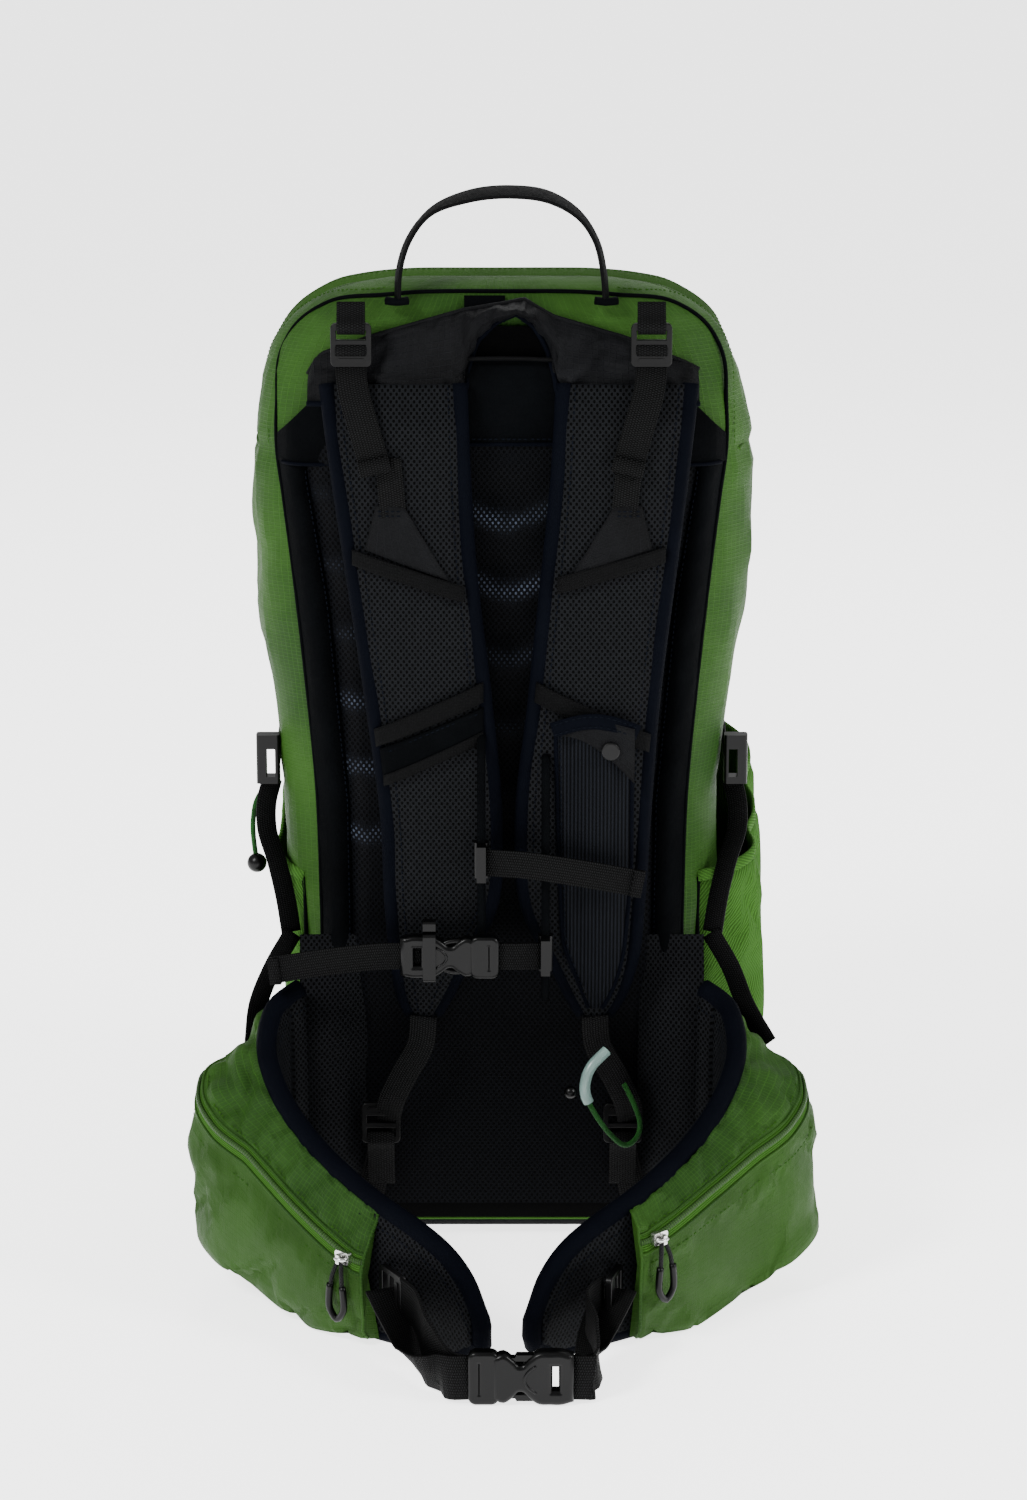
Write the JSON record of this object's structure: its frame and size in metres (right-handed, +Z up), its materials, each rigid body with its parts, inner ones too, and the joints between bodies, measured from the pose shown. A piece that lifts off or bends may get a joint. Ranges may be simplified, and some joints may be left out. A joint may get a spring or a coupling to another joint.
{
  "type": "hiking backpack",
  "caption": "Panel-loading hiking backpack with padded shoulder straps, sternum strap, padded hip belt with zipped pockets, stretch pockets and ladder locks.",
  "frame": {"origin": "centre of the base panel's underside, on the ground", "axes": "+Z up along the back panel, -Y out of the harness side that lies on the wearer's back, +X to the right when looking at the harness side"},
  "size_m": [0.326, 0.4725, 0.5937],
  "materials": {
    "bag_fabric": "ripstop, semi-matt",
    "coated_base": "coated, matt",
    "stretch_fabric": "knitted stretch, matt",
    "dark_fabric": "woven, matt",
    "spacer_mesh": "open mesh over foam",
    "webbing": "woven webbing",
    "strap_mesh": "ribbed stretch mesh",
    "lining": "thin lining",
    "cord": "braided elastic cord",
    "buckle_plastic": "moulded acetal",
    "frame_plastic": "thermoformed sheet",
    "clear_tube": "translucent vinyl",
    "slider_metal": "nickel-plated",
    "rod_metal": "drawn rod"
  },
  "bodies": {
    "pack": {"main_bag": "bag_fabric", "base_panel": "coated_base", "side_pocket_left": "stretch_fabric", "side_pocket_right": "stretch_fabric", "front_pocket": "stretch_fabric", "side_straps": "webbing", "side_buckles": "buckle_plastic", "frame_sheet": "frame_plastic", "frame_rod": "rod_metal", "hydration_sleeve": "lining", "back_foam": "spacer_mesh", "back_borders": "dark_fabric", "harness_yoke": "dark_fabric", "lifter_loops": "webbing", "low_loops": "webbing", "tool_cord": "cord", "tool_knob": "buckle_plastic"},
    "hood": {"hood": "bag_fabric"},
    "main_slider_left": {"main_slider_left": "slider_metal"},
    "main_slider_right": {"main_slider_right": "slider_metal"},
    "handle": {"grab_handle": "webbing"},
    "top_lock_left": {"top_lock_left": "buckle_plastic"},
    "top_lock_right": {"top_lock_right": "buckle_plastic"},
    "low_lock_left": {"low_lock_left": "buckle_plastic"},
    "low_lock_right": {"low_lock_right": "buckle_plastic"},
    "strap_left": {"strap_pad_left": "spacer_mesh", "strap_webbing_left": "webbing", "sternum_rail_left": "webbing"},
    "strap_right": {"strap_pad_right": "spacer_mesh", "strap_webbing_right": "webbing", "sternum_rail_right": "webbing", "strap_pocket": "strap_mesh", "pole_cord": "cord", "pole_loop_tube": "clear_tube", "pole_knob": "buckle_plastic"},
    "snap_flap": {"snap_flap": "dark_fabric", "snap_button": "buckle_plastic"},
    "sternum_strap": {"sternum_clip_left": "buckle_plastic", "sternum_clip_right": "buckle_plastic", "sternum_plug": "buckle_plastic", "sternum_webs": "webbing"},
    "sternum_buckle": {"sternum_socket": "buckle_plastic", "whistle": "buckle_plastic", "sternum_tail": "webbing"},
    "wing_left": {"belt_wing_left": "spacer_mesh", "belt_pocket_left": "bag_fabric"},
    "wing_right": {"belt_wing_right": "spacer_mesh", "belt_pocket_right": "bag_fabric"},
    "belt_strap_left": {"belt_web_left": "webbing", "belt_plug": "buckle_plastic", "belt_lock_left": "buckle_plastic"},
    "belt_strap_right": {"belt_web_right": "webbing", "belt_socket": "buckle_plastic", "belt_lock_right": "buckle_plastic"},
    "prong_upper": {"belt_prong_upper": "buckle_plastic"},
    "prong_lower": {"belt_prong_lower": "buckle_plastic"},
    "belt_slider_left": {"belt_slider_left": "slider_metal"},
    "belt_slider_right": {"belt_slider_right": "slider_metal"},
    "belt_pull_left": {"belt_pull_left": "buckle_plastic"},
    "belt_pull_right": {"belt_pull_right": "buckle_plastic"}
  },
  "joints": [
    {"name": "hood_opens", "type": "hinge", "parent": "pack", "child": "hood", "pos_m": [0, 0.126, 0.33], "axis": [-1, 0, 0], "range_deg": [0, 105]},
    {"name": "main_zip_left", "type": "slide", "parent": "pack", "child": "main_slider_left", "axis": [0, -0.6162, 0.7876], "range_m": [-0.03, 0.075]},
    {"name": "main_zip_right", "type": "slide", "parent": "pack", "child": "main_slider_right", "axis": [0, -0.6162, 0.7876], "range_m": [-0.03, 0.075]},
    {"name": "handle_folds", "type": "hinge", "parent": "pack", "child": "handle", "pos_m": [0, -0.1056, 0.536], "axis": [1, 0, 0], "range_deg": [0, 80]},
    {"name": "load_lifter_left", "type": "hinge", "parent": "pack", "child": "top_lock_left", "pos_m": [-0.08, -0.1185, 0.524], "axis": [-1, 0, 0], "range_deg": [0, 35]},
    {"name": "load_lifter_right", "type": "hinge", "parent": "pack", "child": "top_lock_right", "pos_m": [0.08, -0.1185, 0.524], "axis": [-1, 0, 0], "range_deg": [0, 35]},
    {"name": "low_lock_left_tilts", "type": "hinge", "parent": "pack", "child": "low_lock_left", "pos_m": [-0.068, -0.1185, 0.066], "axis": [1, 0, 0], "range_deg": [0, 30]},
    {"name": "low_lock_right_tilts", "type": "hinge", "parent": "pack", "child": "low_lock_right", "pos_m": [0.068, -0.1185, 0.066], "axis": [1, 0, 0], "range_deg": [0, 30]},
    {"name": "straps_swing", "type": "hinge", "parent": "pack", "child": "strap_left", "pos_m": [-0.06, -0.117, 0.4885], "axis": [-1, 0, 0], "range_deg": [0, 20]},
    {"name": "right_strap_swings", "type": "hinge", "parent": "pack", "child": "strap_right", "pos_m": [0.06, -0.117, 0.4885], "axis": [-1, 0, 0], "range_deg": [0, 20]},
    {"name": "snap_flap_opens", "type": "hinge", "parent": "strap_right", "child": "snap_flap", "pos_m": [0.038, -0.1409, 0.309], "axis": [-0.9912, 0, 0.1322], "range_deg": [0, 80]},
    {"name": "sternum_height", "type": "slide", "parent": "strap_left", "child": "sternum_strap", "axis": [0, 0, 1], "range_m": [0, 0.028]},
    {"name": "sternum_release", "type": "slide", "parent": "sternum_strap", "child": "sternum_buckle", "axis": [-1, 0, 0], "range_m": [0, 0.032]},
    {"name": "belt_opens", "type": "hinge", "parent": "pack", "child": "wing_left", "pos_m": [-0.112, -0.124, 0.06], "axis": [0, 0, -1], "range_deg": [0, 24]},
    {"name": "right_wing_opens", "type": "hinge", "parent": "pack", "child": "wing_right", "pos_m": [0.112, -0.124, 0.06], "axis": [0, 0, 1], "range_deg": [0, 24]},
    {"name": "left_belt_strap_turns", "type": "hinge", "parent": "wing_left", "child": "belt_strap_left", "pos_m": [-0.062, -0.258, 0.035], "axis": [0, 0, 1], "range_deg": [0, 24]},
    {"name": "right_belt_strap_turns", "type": "hinge", "parent": "wing_right", "child": "belt_strap_right", "pos_m": [0.062, -0.258, 0.035], "axis": [0, 0, -1], "range_deg": [0, 24]},
    {"name": "prongs_squeeze", "type": "hinge", "parent": "belt_strap_left", "child": "prong_upper", "pos_m": [-0.0014, -0.326, 0.025], "axis": [0, 1, 0], "range_deg": [0, 6], "stiffness_Nm_per_rad": 0.05},
    {"name": "lower_prong_squeezes", "type": "hinge", "parent": "belt_strap_left", "child": "prong_lower", "pos_m": [-0.0014, -0.326, 0.0046], "axis": [0, -1, 0], "range_deg": [0, 6], "stiffness_Nm_per_rad": 0.05},
    {"name": "belt_zip_left", "type": "slide", "parent": "wing_left", "child": "belt_slider_left", "axis": [-0.7383, 0.6745, 0], "range_m": [0, 0.06]},
    {"name": "belt_zip_right", "type": "slide", "parent": "wing_right", "child": "belt_slider_right", "axis": [0.7383, 0.6745, 0], "range_m": [0, 0.06]},
    {"name": "belt_pull_left_lifts", "type": "hinge", "parent": "belt_slider_left", "child": "belt_pull_left", "pos_m": [-0.08546, -0.25314, 0.0535], "axis": [-0.7383, 0.6745, 0], "range_deg": [0, 60]},
    {"name": "belt_pull_right_lifts", "type": "hinge", "parent": "belt_slider_right", "child": "belt_pull_right", "pos_m": [0.08546, -0.25314, 0.0645], "axis": [-0.7383, -0.6745, 0], "range_deg": [0, 60]}
  ],
  "couplings": [
    {"joint": "right_strap_swings", "follows": "straps_swing", "ratio": 1},
    {"joint": "right_wing_opens", "follows": "belt_opens", "ratio": 1},
    {"joint": "left_belt_strap_turns", "follows": "belt_opens", "ratio": 1},
    {"joint": "right_belt_strap_turns", "follows": "belt_opens", "ratio": 1},
    {"joint": "lower_prong_squeezes", "follows": "prongs_squeeze", "ratio": 1}
  ]
}
